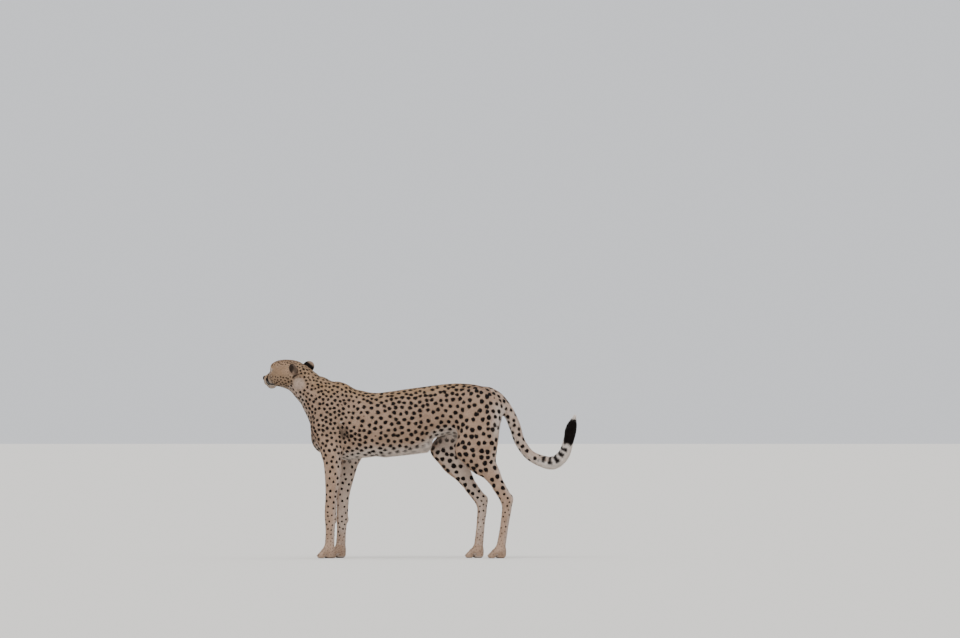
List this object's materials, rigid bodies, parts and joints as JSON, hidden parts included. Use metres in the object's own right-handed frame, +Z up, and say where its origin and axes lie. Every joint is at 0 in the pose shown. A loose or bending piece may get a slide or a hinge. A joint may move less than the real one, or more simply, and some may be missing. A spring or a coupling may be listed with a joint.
{
  "type": "cheetah model",
  "caption": "Still, life-size model of a standing cheetah: slim spotted body on long legs, small head turned aside, and a long tail that curves down and up to a dark tip.",
  "frame": {"origin": "on the floor, at the middle of the model's bounding box", "axes": "+Z up; the body points along -X, the animal's left side faces -Y and the tail ends at +X"},
  "size_m": [1.4012, 0.2266, 0.8839],
  "materials": {
    "coat": "short tan fur with round black spots",
    "white_fur": "soft white fur",
    "black_fur": "black fur",
    "paw_fur": "very short fur over bare pads and dark claws",
    "eye": "wet amber glass eye",
    "claw": "dark horn, slightly polished",
    "nose_leather": "moist black leather"
  },
  "bodies": {
    "root": {"ear_left": "coat", "ear_right": "coat", "eye_left": "eye", "eye_right": "eye", "fore_foot_left": "coat", "fore_foot_right": "coat", "fore_paw_left": "paw_fur", "fore_paw_right": "paw_fur", "forearm_left": "coat", "forearm_right": "coat", "head": "coat", "hind_foot_left": "coat", "hind_foot_right": "coat", "hind_paw_left": "paw_fur", "hind_paw_right": "paw_fur", "lower_jaw": "white_fur", "neck": "coat", "nose": "nose_leather", "shin_left": "coat", "shin_right": "coat", "tail_1": "coat", "tail_2": "coat", "tail_3": "coat", "tail_4": "white_fur", "tail_5": "black_fur", "thigh_left": "coat", "thigh_right": "coat", "trunk_chest": "coat", "trunk_loin": "coat", "trunk_rump": "coat", "upper_arm_left": "coat", "upper_arm_right": "coat"}
  },
  "joints": []
}
